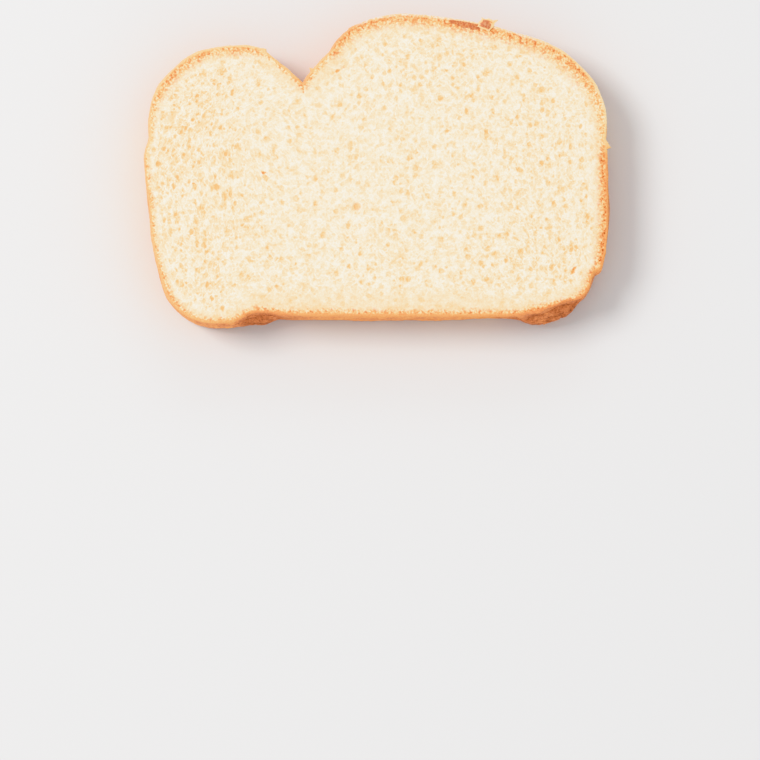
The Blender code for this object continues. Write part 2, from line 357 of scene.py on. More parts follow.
def outline_at(mesh, height):
    """The solid's outline at a height, as a ring of plan points in order, clockwise from above."""
    bm = bmesh.new()
    bm.from_mesh(mesh)
    bmesh.ops.remove_doubles(bm, verts=bm.verts, dist=WELD)
    level = height * MM

    def crosses(edge):
        return (edge.verts[0].co.z > level) != (edge.verts[1].co.z > level)

    first = next(e for e in bm.edges if crosses(e))
    edge, face = first, first.link_faces[0]
    ring = []
    while not ring or edge != first:
        a, b = (v.co for v in edge.verts)
        place = a.lerp(b, (level - a.z) / (b.z - a.z)) / MM
        ring.append(place[:2])
        edge = next(e for e in face.edges if e != edge and crosses(e))
        face = next(f for f in edge.link_faces if f != face)
    bm.free()
    ring = np.array(ring)
    following = np.roll(ring, -1, axis=0)
    area = np.sum(ring[:, 0] * following[:, 1] - following[:, 0] * ring[:, 1]) / 2
    return ring[::-1] if area > 0 else ring


def resampled(ring, spacing):
    """A closed ring as evenly spaced points."""
    closed = np.vstack([ring, ring[:1]])
    along = np.concatenate([[0], np.cumsum(np.linalg.norm(np.diff(closed, axis=0), axis=1))])
    count = round(along[-1] / spacing)
    at = np.arange(count) * along[-1] / count
    return np.stack([np.interp(at, along, closed[:, k]) for k in (0, 1)], axis=1)


def outward(ring, reach):
    """Each point's outward direction on a clockwise ring, taken over a length of outline."""
    step = max(1, round(reach / np.linalg.norm(ring[1] - ring[0])))
    run = sum(np.roll(ring, -k, axis=0) - np.roll(ring, k, axis=0) for k in range(1, step + 1))
    normals = np.stack([-run[:, 1], run[:, 0]], axis=1)
    return normals / np.linalg.norm(normals, axis=1, keepdims=True)


class Slice:
    """What the looks need of the solid: its outline, its wall, and how far any point is from its crust."""

    def __init__(self, node):
        mesh = node.data
        low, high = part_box(NODE)
        self.bottom, self.top = low.z / MM, high.z / MM
        corners = [v.co[:] for v in mesh.vertices]
        self.bvh = BVHTree.FromPolygons(corners, [p.vertices[:] for p in mesh.polygons])
        rough = outline_at(mesh, self.top - SOLID_ROUND - RIM_GAP)
        ring = resampled(rough, COLUMN_SPACING)
        self.normals = outward(ring, NORMAL_REACH)
        self.trim = trim_at(ring)
        self.ring = ring - self.normals * self.trim[:, None]
        fine = resampled(self.ring, COLUMN_SPACING / FINE_SHARE)
        self.tree = kdtree.KDTree(len(fine))
        for i, (x, y) in enumerate(fine):
            self.tree.insert((x, y, 0), i)
        self.tree.balance()
        self.zones = zone_values(fine)

    def out_at(self, height):
        """How far beyond the looks' outline each column's wall stands at a height."""
        found = np.zeros(len(self.ring))
        for i, ((x, y), (nx, ny)) in enumerate(zip(self.ring, self.normals)):
            origin = Vector((x - nx * RAY_DEPTH, y - ny * RAY_DEPTH, height)) * MM
            hit, _, _, distance = self.bvh.ray_cast(origin, Vector((nx, ny, 0)))
            found[i] = distance / MM - RAY_DEPTH - self.trim[i] if hit else 0.0
        return found

    def nearest(self, points):
        """For each plan point, how far it is from the outline, and the zone values there."""
        found = [self.tree.find((x, y, 0)) for x, y in points]
        return np.array([f[2] for f in found]), self.zones[[f[1] for f in found]]


def nearness(points, x, y, reach):
    """1 at a place, less and less away from it."""
    return np.exp(-np.sum((points - (x, y)) ** 2, axis=1) / reach ** 2)


def trim_at(ring):
    """How far in from the solid's outline the looks' outline is, at points of it."""
    return sum(far * nearness(ring, x, y, reach) for x, y, reach, far in TRIMS)


def zone_values(points):
    """The values of ZONE_NAMES at points of the outline."""
    zones = np.array(ZONES)
    gap = np.linalg.norm(points[:, None] - zones[None, :, :2], axis=2)
    weight = np.exp(-np.minimum((gap / zones[:, 2]) ** 2, ZONE_LIMIT)) + ZONE_TRACE / (1 + gap)
    return weight @ zones[:, 3:] / weight.sum(axis=1, keepdims=True)


class Flow:
    """Plan coordinates in which all cells of the crumb are alike: beside the crust they are narrower."""

    def __init__(self, bread):
        self.low = bread.ring.min(0) - 2 * FLOW_CELL
        high = bread.ring.max(0) + 2 * FLOW_CELL
        self.shape = np.ceil((high - self.low) / FLOW_CELL).astype(int) + 1
        xs, ys = (start + np.arange(n) * FLOW_CELL for start, n in zip(self.low, self.shape))
        grid = np.stack(np.meshgrid(xs, ys, indexing="ij"), axis=-1).reshape(-1, 2)
        distance = np.array([bread.tree.find((x, y, 0))[2] for x, y in grid])
        distance = np.where(inside(grid, bread.ring), distance, -distance).reshape(self.shape)
        inward = np.stack(np.gradient(distance, FLOW_CELL), axis=-1)
        gap = np.linalg.norm(grid - CLEFT, axis=1).reshape(self.shape)
        away = 1 - np.exp(-(gap / CLEFT_REACH) ** 2)
        move = FLOW_STRETCH * FLOW_REACH * np.exp(-distance / FLOW_REACH) * away
        field = -inward * move[..., None]
        for _ in range(FLOW_BLUR):
            for axis in (0, 1):
                field = (np.roll(field, 1, axis) + 2 * field + np.roll(field, -1, axis)) / 4
        self.field = field

    def at(self, points):
        """Plan points in the flow's coordinates."""
        place = (points - self.low) / FLOW_CELL
        cell = np.clip(np.floor(place).astype(int), 0, self.shape - 2)
        i, j = cell.T
        sx, sy = (place - cell).T[:, :, None]
        left = self.field[i, j] * (1 - sy) + self.field[i, j + 1] * sy
        right = self.field[i + 1, j] * (1 - sy) + self.field[i + 1, j + 1] * sy
        move = left * (1 - sx) + right * sx
        across = np.array((-math.sin(SLANT_ANGLE), math.cos(SLANT_ANGLE)))
        near = nearness(points, *SLANT_MIDDLE, SLANT_REACH)
        slant = ((points - SLANT_MIDDLE) @ across * near)[:, None] * across * SLANT_SQUEEZE
        return (points + move + slant) * (1.0, FLOW_RISE)


# ---- meshes

def inside(points, ring):
    """Which plan points lie inside a closed ring, by counting crossings."""
    result = np.zeros(len(points), bool)
    x, y = points[:, 0], points[:, 1]
    for (ax, ay), (bx, by) in zip(ring, np.roll(ring, -1, axis=0)):
        if ay == by:
            continue
        crosses = (ay > y) != (by > y)
        result[crosses] ^= x[crosses] < (bx - ax) * (y[crosses] - ay) / (by - ay) + ax
    return result


def lattice(ring, bread, seed):
    """Points that fill a ring on a slightly uneven triangular lattice, clear of its edge."""
    rng = np.random.default_rng(seed)
    low, high = ring.min(0), ring.max(0)
    rows = np.arange(low[1], high[1], CRUMB_SPACING * math.sqrt(3) / 2)
    points = []
    for k, y in enumerate(rows):
        xs = np.arange(low[0] + (k % 2) * CRUMB_SPACING / 2, high[0], CRUMB_SPACING)
        points.append(np.stack([xs, np.full(len(xs), y)], axis=1))
    points = np.concatenate(points)
    points = points + rng.uniform(-1, 1, points.shape) * CRUMB_JITTER * CRUMB_SPACING
    points = points[inside(points, ring)]
    gap = bread.nearest(points)[0]
    return points[gap > EDGE_ROUND + CRUMB_GAP * CRUMB_SPACING]


def store(mesh, name, values):
    """Keeps a number or a vector for each point of a mesh."""
    values = np.asarray(values, np.float32)
    kind, field = ("FLOAT", "value") if values.ndim == 1 else ("FLOAT_VECTOR", "vector")
    mesh.attributes.new(name, kind, "POINT").data.foreach_set(field, values.ravel())


def store_map(mesh, corners):
    """Keeps where each corner of each face lies in its map for baking."""
    layer = mesh.uv_layers.new(name=MAP_NAME)
    layer.data.foreach_set("uv", np.asarray(corners, np.float32).ravel())


def crust_values(mesh, inset, below, zones):
    """Keeps the distance from the outline, the distance below the upper cut face and the zone values."""
    store(mesh, "inset", inset)
    store(mesh, "below", below)
    for name, values in zip(ZONE_NAMES, zones.T):
        store(mesh, name, values)


def crumb_values(mesh, plan, inset, zones):
    """Keeps how open the crumb is: almost closed beside the crust, and uneven over the slice."""
    share = (inset / zones[:, ZONE_NAMES.index("calm_width")] - CALM_START) / CALM_FADE
    calm = CALM_LEAST + (1 - CALM_LEAST) * smooth_step(share)
    more = sum(amount * nearness(plan, x, y, reach) for x, y, reach, amount in OPENNESS)
    store(mesh, "open", calm * (1 + more))


def new_object(name, mesh):
    ob = bpy.data.objects.new(name, mesh)
    bpy.context.scene.collection.objects.link(ob)
    return ob


def smooth_step(share):
    """A share held from 0 to 1, with soft ends."""
    share = np.clip(share, 0, 1)
    return share * share * (3 - 2 * share)


def hole_relief(points, holes):
    """How deep the single holes are at plan points, and how browned."""
    depth = np.zeros(len(points))
    brown_and_fold_shade = np.zeros(len(points))
    points = points + np.sin(points @ np.transpose(HOLE_WAVES)) * HOLE_WAVER
    for x, y, long, wide, angle, deep, tone in holes:
        a = math.radians(angle)
        gap = points - (x, y)
        u = (gap[:, 0] * math.cos(a) + gap[:, 1] * math.sin(a)) / long
        v = (gap[:, 1] * math.cos(a) - gap[:, 0] * math.sin(a)) / wide
        away = np.hypot(u, v)
        depth = np.maximum(depth, deep * smooth_step(HOLE_END - away))
        brown_and_fold_shade = np.maximum(brown_and_fold_shade, tone * smooth_step((STAIN_END - away) / STAIN_FADE))
    return depth, brown_and_fold_shade


def cut_face(name, bread, flow, ring, height, up, holes, peels, seed):
    """One cut face, flat as yet, from the inner edge of the rounded crust inwards."""
    inner = lattice(ring, bread, seed)
    every = [Vector(p) for p in np.vstack([ring, inner])]
    within_border = 1
    out = geometry.delaunay_2d_cdt(every, [], [list(range(len(ring)))], within_border, SAME_POINT)
    plan, faces = np.array([v[:] for v in out[0]]), np.array(out[2])
    one, other = plan[faces[0, 1]] - plan[faces[0, 0]], plan[faces[0, 2]] - plan[faces[0, 0]]
    if (one[0] * other[1] - one[1] * other[0] > 0) != up:
        faces = faces[:, ::-1]
    inset, zones = bread.nearest(plan)
    depth, brown_and_fold_shade = hole_relief(plan, holes)
    bare, peeled = hole_relief(plan, peels)
    level = np.full(len(plan), height)
    mesh = bpy.data.meshes.new(name)
    mesh.from_pydata((np.column_stack([plan, level]) * MM).tolist(), [], faces.tolist())
    crust_values(mesh, inset, bread.top - level, zones)
    crumb_values(mesh, plan, inset, zones)
    store(mesh, "flow", np.column_stack([flow.at(plan), level + seed * PATTERN_SHIFT]))
    store(mesh, "hole", np.maximum(depth, bare))
    store(mesh, "brown_and_fold_shade", brown_and_fold_shade)
    store(mesh, "peeled", peeled)
    low, high = plan.min(0), plan.max(0)
    share = (plan - low) / (high - low)
    store_map(mesh, FACE_MARGIN + (1 - 2 * FACE_MARGIN) * share[faces.ravel()])
    return new_object(name, mesh)


def wall_profile(bread):
    """The height of each row of the wall, from the lower edge up, and how far it is drawn in."""
    angles = [math.pi / 2 * k / ROUND_ROWS for k in range(ROUND_ROWS)]
    rows = [
        (bread.bottom + EDGE_ROUND * (1 - math.cos(a)), EDGE_ROUND * (1 - math.sin(a))) for a in angles
    ]
    low, high = bread.bottom + EDGE_ROUND, bread.top - EDGE_ROUND
    count = round((high - low) / ROW_SPACING)
    straight = [(low + (high - low) * k / count, 0.0) for k in range(count + 1)]
    upper = [(bread.top - (z - bread.bottom), inset) for z, inset in reversed(rows)]
    return rows + straight + upper


def along_from(bread, x, y):
    """How far each column is along the outline from the one nearest a point, less than 0 before it."""
    count = len(bread.ring)
    tip = np.argmin(np.linalg.norm(bread.ring - (x, y), axis=1))
    return ((np.arange(count) - tip + count // 2) % count - count // 2) * COLUMN_SPACING


def folds_at(bread, height):
    """At one row, how far into a fold each column is, from 0 to 1, and how deep the folds are there."""
    share, deep = np.zeros(len(bread.ring)), np.zeros(len(bread.ring))
    for x, y, z, reach, half, depth in FOLDS:
        along = along_from(bread, x, y)
        middle = z + FOLD_WAVER * np.sin(FOLD_WAVE * along)
        near = np.clip(1 - (along / reach) ** 2, 0, 1)
        fold = near * np.exp(-((height - middle) / half) ** 2)
        share = np.maximum(share, fold)
        deep += depth * fold
    return share, deep


def spurs_at(bread, height):
    """How far spurs stand out of the wall at one row."""
    out = np.zeros(len(bread.ring))
    for x, y, z, before, after, half, far in SPURS:
        along = along_from(bread, x, y)
        share = np.clip(np.where(along < 0, 1 + along / before, 1 - along / after), 0, 1)
        out += far * share ** SPUR_TAPER * max(0.0, 1 - abs(height - z) / half)
    return out


def crumpled_at(ring):
    """How crumpled the skin is at each column."""
    amount = np.full(len(ring), CRUMPLE_LEAST)
    for x, y, reach, most in CRUMPLED:
        amount = np.maximum(amount, most * nearness(ring, x, y, reach))
    return amount


def wall_faces(rows, count):
    """The wall's faces, and where their corners lie in its map, which is folded into strips."""
    steps = [math.dist(a, b) for a, b in zip(rows, rows[1:])]
    share = STRIP_MARGIN + (1 - 2 * STRIP_MARGIN) * np.cumsum([0] + steps) / sum(steps)
    per_strip = math.ceil(count / WALL_STRIPS)
    faces, corners = [], []
    for k in range(len(rows) - 1):
        for i in range(count):
            j = (i + 1) % count
            faces.append((k * count + j, k * count + i, (k + 1) * count + i, (k + 1) * count + j))
            strip, column = divmod(i, per_strip)
            left, right = column / per_strip, (column + 1) / per_strip
            low, high = (strip + share[k]) / WALL_STRIPS, (strip + share[k + 1]) / WALL_STRIPS
            corners += [(right, low), (left, low), (left, high), (right, high)]
    return faces, corners


def crust_wall(bread):
    """The skin of the crust, with both rounded edges, and the plan rings where it meets the cut faces."""
    rows = wall_profile(bread)
    count = len(bread.ring)
    lowest, highest = bread.bottom + SOLID_ROUND + RIM_GAP, bread.top - SOLID_ROUND - RIM_GAP
    straight = [height for height, inset in rows if inset == 0.0]
    stand = {height: bread.out_at(min(max(height, lowest), highest)) for height in straight}
    rings, fold_shades, peeled = [], [], []
    for height, inset in rows:
        fold, deep = folds_at(bread, height)
        out = stand[min(max(height, straight[0]), straight[-1])] + spurs_at(bread, height) - deep
        plan = bread.ring + bread.normals * (out - inset)[:, None]
        rings.append(plan)
        # Painted shade at the bottom of each fold.
        fold_shades.append(FOLD_SHADE * fold)
        on_upper_edge = height > bread.top - EDGE_ROUND
        fade = smooth_step((inset / EDGE_ROUND - PEEL_START) / (1 - PEEL_START)) * on_upper_edge
        peeled.append(hole_relief(plan, PEELED)[1] * fade)
    heights, insets = (np.repeat(values, count) for values in zip(*rows))
    points = np.column_stack([np.concatenate(rings), heights])
    faces, corners = wall_faces(rows, count)
    mesh = bpy.data.meshes.new("crust")
    mesh.from_pydata((points * MM).tolist(), [], faces)
    zones = bread.nearest(bread.ring)[1]
    crust_values(mesh, insets, bread.top - heights, np.tile(zones, (len(rows), 1)))
    store(mesh, "margin", np.minimum(bread.top - heights, heights - bread.bottom))
    # On the wall this value is painted shade at the bottom of the folds.
    store(mesh, "brown_and_fold_shade", np.concatenate(fold_shades))
    store(mesh, "peeled", np.concatenate(peeled))
    store(mesh, "crumpled", np.tile(crumpled_at(bread.ring), len(rows)))
    store_map(mesh, corners)
    return new_object("crust", mesh), rings[0], rings[-1]


def crust_flake(bread):
    """A flake of crust folded up at the dome's edge: a thin arched sheet, thinnest at its border."""
    share = np.linspace(0, 1, FLAKE_STEPS + 1)
    u, v = (grid.ravel() for grid in np.meshgrid(share, share, indexing="ij"))
    inner_left, outer_left, outer_right, inner_right = np.array(FLAKE_CORNERS)
    near = inner_left + np.outer(u, inner_right - inner_left)
    far = outer_left + np.outer(u, outer_right - outer_left)
    rim = np.minimum(np.minimum(u, 1 - u), np.minimum(v, 1 - v)) / FLAKE_BORDER
    body = np.clip(rim, 0, 1)
    frays = np.sin(np.column_stack([u, v]) @ np.transpose(FLAKE_WAVES)) * FLAKE_FRAY
    plan = near + (far - near) * v[:, None] + frays * (1 - body)[:, None]
    start, end = FLAKE_ARCH
    arch = np.sin(math.pi * (start + (end - start) * v)) * (1 + FLAKE_CURL * np.sin(FLAKE_CURL_WAVE * u))
    half = FLAKE_THICKNESS / 2 * (FLAKE_THIN + (1 - FLAKE_THIN) * body)
    middle = bread.top + FLAKE_RISE * arch
    sheets = [np.column_stack([plan, middle + side * half]) for side in (1, -1)]

    count = len(plan)
    at = np.arange(count).reshape(FLAKE_STEPS + 1, FLAKE_STEPS + 1)
    upper = np.stack([at[:-1, :-1], at[1:, :-1], at[1:, 1:], at[:-1, 1:]], axis=-1).reshape(-1, 4)
    lower = upper[:, ::-1] + count
    border = np.concatenate([at[0], at[1:, -1], at[-1, -2::-1], at[-2:0:-1, 0]])
    following = np.roll(border, -1)
    side = np.column_stack([border, following, following + count, border + count])
    faces = np.concatenate([upper, lower, side])
    mesh = bpy.data.meshes.new("crust_flake")
    mesh.from_pydata((np.concatenate(sheets) * MM).tolist(), [], faces.tolist())

    from_border = smooth_step(FLAKE_BARE * rim - FLAKE_BARE_BORDER)
    from_corner = smooth_step(FLAKE_BARE_CORNER - FLAKE_BARE * (u + v))
    length = np.linalg.norm(inner_right - inner_left)
    inset = np.tile(rim * FLAKE_BORDER * length, 2)
    crust_values(mesh, inset, np.zeros(2 * count), np.tile(FLAKE_LOOK, (2 * count, 1)))
    store(mesh, "peeled", np.tile(from_border * from_corner, 2))
    for name in ("brown_and_fold_shade", "crumpled"):
        store(mesh, name, np.zeros(2 * count))
    corner = faces.ravel()
    across = FLAKE_MARGIN + (0.5 - 2 * FLAKE_MARGIN) * u[corner % count] + 0.5 * (corner >= count)
    store_map(mesh, np.column_stack([across, v[corner % count]]))
    return new_object("crust_flake", mesh)


# ---- patterns, alike in shaders and in geometry

class Nodes:
    """Adds nodes to a shader tree or a geometry tree. Each call returns the new node's output."""

    def __init__(self, tree):
        self.tree = tree

    def fill(self, node, inputs):
        for name, value in inputs.items():
            if isinstance(value, bpy.types.NodeSocket):
                self.tree.links.new(value, node.inputs[name])
            else:
                node.inputs[name].default_value = value

    def add(self, kind, inputs=None, output=0, **settings):
        node = self.tree.nodes.new(kind)
        for name, value in settings.items():
            setattr(node, name, value)
        self.fill(node, inputs or {})
        return node.outputs if output is None else node.outputs[output]

    def math(self, operation, a, b=0.0, clamp=False):
        return self.add("ShaderNodeMath", {0: a, 1: b}, operation=operation, use_clamp=clamp)

    def vector(self, operation, a, b):
        return self.add("ShaderNodeVectorMath", {0: a, 1: b}, operation=operation)

    def scaled(self, a, factor):
        return self.add("ShaderNodeVectorMath", {0: a, "Scale": factor}, operation="SCALE")

    def plus(self, value, pattern, amount):
        """A value with so much of a pattern added."""
        return self.math("ADD", value, self.math("MULTIPLY", pattern, amount))

    def noise(self, at, pattern, output="Fac"):
        scale, detail, roughness = pattern
        inputs = {"Vector": at, "Scale": scale, "Detail": detail, "Roughness": roughness}
        return self.add("ShaderNodeTexNoise", inputs, output)

    def centred(self, at, pattern):
        """Noise that goes as far below 0 as above it."""
        return self.math("SUBTRACT", self.noise(at, pattern), 0.5)

    def bend(self, at, pattern):
        """The same as a vector, for bending other patterns."""
        return self.vector("SUBTRACT", self.noise(at, pattern, "Color"), (0.5, 0.5, 0.5))

    def step(self, value, low, high, to_low=0.0, to_high=1.0, smooth=True):
        inputs = {"Value": value, "From Min": low, "From Max": high, "To Min": to_low, "To Max": to_high}
        kind = "SMOOTHSTEP" if smooth else "LINEAR"
        return self.add("ShaderNodeMapRange", inputs, interpolation_type=kind, clamp=True)

    def specks(self, at, pattern, *ends):
        return self.step(self.noise(at, pattern), *ends)

    def falling(self, value, low, high):
        return self.step(value, low, high, 1.0, 0.0)

    def ramp(self, value, stops):
        node = self.tree.nodes.new("ShaderNodeValToRGB")
        self.tree.links.new(value, node.inputs[0])
        points = node.color_ramp.elements
        while len(points) < len(stops):
            points.new(1.0)
        for point, (position, colour) in zip(points, stops):
            point.position = position
            point.color = colour
        return node.outputs[0]

    def mix(self, share, a, b):
        """One number with a share of another in its place."""
        return self.add("ShaderNodeMix", {0: share, 2: a, 3: b})

    def mix_colours(self, share, a, b):
        return self.add("ShaderNodeMix", {0: share, 6: a, 7: b}, 2, data_type="RGBA")

    def named(self, name, vector=False):
        """A stored value of the mesh."""
        if self.tree.type == "SHADER":
            output = "Vector" if vector else "Fac"
            return self.add("ShaderNodeAttribute", output=output, attribute_name=name)
        kind = "FLOAT_VECTOR" if vector else "FLOAT"
        outputs = self.add("GeometryNodeInputNamedAttribute", {"Name": name}, None, data_type=kind)
        return next(socket for socket in outputs if socket.enabled)


def strands(n, at, scale, width):
    """A net of curved strands: 0 along them, and up to 1 in the gaps between."""
    return n.step(n.math("ABSOLUTE", n.centred(at, (scale, *STRAND_DETAIL))), 0.0, width)


def pits_of(n, at, size, smallest, largest, soft):
    """Scattered round pits: 0 between them, 1 at the bottom. Radii and softness are shares of a cell."""
    inputs = {"Vector": at, "Scale": 1.0 / size, "Randomness": 1.0}
    cells = n.add("ShaderNodeTexVoronoi", inputs, None, feature="F1")
    chance = n.add("ShaderNodeSeparateXYZ", {0: cells["Color"]})
    radius = n.step(chance, 0.0, 1.0, smallest, largest, smooth=False)
    return n.step(n.math("SUBTRACT", radius, cells["Distance"]), 0.0, soft)


def crumb_cells(n):
    """The crumb's large and small cells, each from 0, walls, to 1, bottoms of pores."""
    flow = n.named("flow", vector=True)
    bend = n.bend(flow, CRUMB_BEND)

    def moved(share, shift):
        return n.vector("ADD", n.vector("ADD", flow, n.scaled(bend, share)), shift)

    def net(share, shift, scale, width):
        return strands(n, moved(share, shift), scale, width)

    def pits(share, shift, *sizes):
        return pits_of(n, moved(share, shift), *sizes)

    patches = n.specks(moved(0.0, PATCH_SHIFT), *NET_PATCHES)
    coarse = n.math("MULTIPLY", n.math("MULTIPLY", net(*LARGE_NET), patches), LARGE_NET_DEPTH)
    for pores, depth in COARSE_PITS:
        coarse = n.plus(coarse, pits(*pores), depth)
    small = n.math("MULTIPLY", net(*SMALL_NET), SMALL_NET_DEPTH)
    small = n.plus(small, pits(*FINE_PORES), FINE_PORE_DEPTH)
    open_share = n.named("open")
    return n.math("MULTIPLY", coarse, open_share), n.math("MULTIPLY", small, open_share)


def relief_modifier(ob, build):
    """Moves the points of a mesh by a pattern and applies it, so that the relief is real."""
    tree = bpy.data.node_groups.new(ob.name + "_relief", "GeometryNodeTree")
    tree.interface.new_socket("Geometry", in_out="INPUT", socket_type="NodeSocketGeometry")
    tree.interface.new_socket("Geometry", in_out="OUTPUT", socket_type="NodeSocketGeometry")
    n = Nodes(tree)
    start = tree.nodes.new("NodeGroupInput").outputs[0]
    moved = n.add("GeometryNodeSetPosition", {"Geometry": start, "Offset": build(n)})
    tree.links.new(moved, tree.nodes.new("NodeGroupOutput").inputs[0])
    modifier = ob.modifiers.new("relief", "NODES")
    modifier.node_group = tree
    bpy.context.view_layer.update()
    depsgraph = bpy.context.evaluated_depsgraph_get()
    done = ob.evaluated_get(depsgraph)
    mesh = bpy.data.meshes.new_from_object(done, preserve_all_data_layers=True, depsgraph=depsgraph)
    ob.modifiers.clear()
    old = ob.data
    mesh.name = old.name + "_done"
    ob.data = mesh
    bpy.data.meshes.remove(old)
    bpy.data.node_groups.remove(tree)


def face_relief(sign):
    """Pores and a slight unevenness, into the bread from a cut face."""
    def build(n):
        edge = n.step(n.named("inset"), EDGE_ROUND, EDGE_ROUND + RELIEF_FADE)
        coarse, small = crumb_cells(n)
        pits = n.math("MULTIPLY", n.plus(coarse, small, SMALL_RELIEF), PORE_DEPTH)
        deep = n.math("MAXIMUM", pits, n.named("hole"))
        wander = n.centred(n.named("flow", vector=True), DISH_WAVE)
        down = n.math("MULTIPLY", n.plus(deep, wander, -2 * DISH), edge)
        return n.add("ShaderNodeCombineXYZ", {"Z": n.math("MULTIPLY", down, -sign * MM)})
    return build


def creases(n, place):
    """Creases of crumpled skin: 1 at their bottom, 0 beside them."""
    bend = n.scaled(n.bend(place, CREASE_BEND), CREASE_WANDER)
    bent = n.vector("ADD", n.vector("MULTIPLY", place, CREASE_STRETCH), bend)
    return n.math("SUBTRACT", 1.0, strands(n, bent, *CREASE_NET))


def skin_pattern(n, place):
    """The skin's fine relief in millimetres: shallow wrinkles along the loaf's side, grain and pits."""
    wrinkle = n.math("ABSOLUTE", n.centred(n.vector("MULTIPLY", place, WRINKLE_STRETCH), WRINKLES))
    relief = n.math("MULTIPLY", wrinkle, -WRINKLE_DEPTH)
    relief = n.plus(relief, n.noise(place, SKIN_GRAIN), GRAIN_HEIGHT)
    return n.plus(relief, pits_of(n, place, *SKIN_PITS), -SKIN_PIT_DEPTH)


def wall_relief(n):
    """Dents and the skin's fine relief, fading out towards both cut faces."""
    place = n.scaled(n.add("GeometryNodeInputPosition"), 1 / MM)
    depth = n.math("MULTIPLY", n.math("ADD", skin_pattern(n, place), SKIN_LIFT), SKIN_DEPTH)
    depth = n.plus(depth, n.centred(place, DENTS), DENT_DEPTH)
    crumple = n.math("MULTIPLY", creases(n, place), n.named("crumpled"))
    depth = n.plus(depth, crumple, -CRUMPLE_DEPTH)
    inner = n.step(n.named("margin"), 0.0, EDGE_ROUND)
    amount = n.math("MULTIPLY", n.math("MULTIPLY", depth, inner), MM)
    return n.scaled(n.add("GeometryNodeInputNormal"), amount)


# ---- materials

def with_patterns(n, tone, patterns, amounts):
    """A tone with so much of each pattern added."""
    for name, amount in amounts.items():
        tone = n.plus(tone, patterns[name], amount)
    return tone


def browned(n, place, face):
    """How browned the surface is, from 0 to 1, and how much of it is crust."""
    patterns = {
        "grain": n.centred(place, GRAIN),
        "grit": n.specks(place, *GRIT),
        "clump": n.specks(place, *CLUMP),
        "mottle": n.centred(place, MOTTLE),
        "blotch": n.centred(place, BLOTCH),
    }
    inset = n.named("inset")
    ragged = n.math("MULTIPLY", n.centred(place, RAGGED), RAGGED_REACH)
    reach = n.plus(n.math("ADD", inset, ragged), n.centred(place, FRAYED), FRAYED_REACH)
    share = n.math("DIVIDE", reach, n.named("ring_width"))
    ring = n.math("MULTIPLY", n.named("ring_tone"), n.step(share, *RING_FADE, 1.0, RING_LEAST))
    ring = with_patterns(n, ring, patterns, RING_PATTERNS)
    edge = n.plus(n.named("edge_tone"), patterns["grain"], EDGE_GRAIN)
    skin = with_patterns(n, n.named("skin_tone"), patterns, SKIN_PATTERNS)
    if not face:
        # Painted shade: the skin's pits are darker.
        skin = n.plus(skin, pits_of(n, place, *SKIN_PITS), SKIN_PIT_SHADE)
        # Painted shade: the creases of crumpled skin are darker.
        crumple = n.math("MULTIPLY", creases(n, place), n.named("crumpled"))
        skin = n.plus(skin, crumple, CREASE_SHADE)
    below = n.math("ADD", n.named("below"), ragged)
    outer = n.mix(n.step(below, *EDGE_END), edge, skin)
    on_edge = n.falling(inset, *KNIFE_EDGE)
    tone = n.mix(on_edge, ring, outer)
    # On the cut faces this is the brown of holes and flecks; on the wall, painted shade at the bottom of
    # the folds.
    stain_and_fold_shade = n.plus(n.named("brown_and_fold_shade"), patterns["grain"], STAIN_AND_FOLD_SHADE_GRAIN)
    tone = n.math("MAXIMUM", tone, stain_and_fold_shade)
    if not face:
        return tone, None
    crust = n.math("MAXIMUM", n.falling(share, *RING_END), on_edge)
    for stained in ("brown_and_fold_shade", "peeled"):
        crust = n.math("MAXIMUM", crust, n.step(n.named(stained), *STAIN_SIDES))
    return tone, crust


def bare_crust(n, place):
    """How much of the crust is peeled, in ragged patches."""
    share = n.plus(n.named("peeled"), n.centred(place, PEEL_RAGS), PEEL_RAG_REACH)
    return n.math("MULTIPLY", n.step(share, *PEEL_SIDES), n.specks(place, *PEEL_MOTTLE))


def painted_glints(n, place):
    """How much of the painted sheen shows: pale specks that stand in for highlights along the glossy
    stretches of the rounded edge.
    """
    sheen = n.math("MULTIPLY", n.step(n.named("gloss"), *PAINTED_GLINT_GLOSS), n.specks(place, *PAINTED_GLINT_SPECKS))
    for name, ends in PAINTED_GLINT_ENDS.items():
        sheen = n.math("MULTIPLY", sheen, n.falling(n.named(name), *ends))
    return sheen


def crumb_surface(n, place, fine):
    """The crumb's colour, and its height for the bump."""
    coarse, small = crumb_cells(n)
    holes = n.math("MULTIPLY", n.named("hole"), HOLE_SHADE)
    pits = n.math("MAXIMUM", n.math("ADD", coarse, small), holes)
    # Painted shade: darker and yellower at the bottoms of pits and holes.
    light = n.math("SUBTRACT", LIGHT_MOST, n.math("MULTIPLY", pits, PIT_SHADE))
    dense = n.math("SUBTRACT", 1.0, n.named("open"), clamp=True)
    light = n.plus(light, dense, -DENSE_SHADE)
    light = n.plus(light, n.centred(place, CLOUD), CLOUD_SHADE)
    light = n.plus(light, n.math("SUBTRACT", fine, 0.5), FINE_SHADE)
    height = n.plus(n.math("MULTIPLY", fine, CRUMB_BUMP), small, -CELL_BUMP)
    return n.ramp(light, CRUMB_COLOURS), height


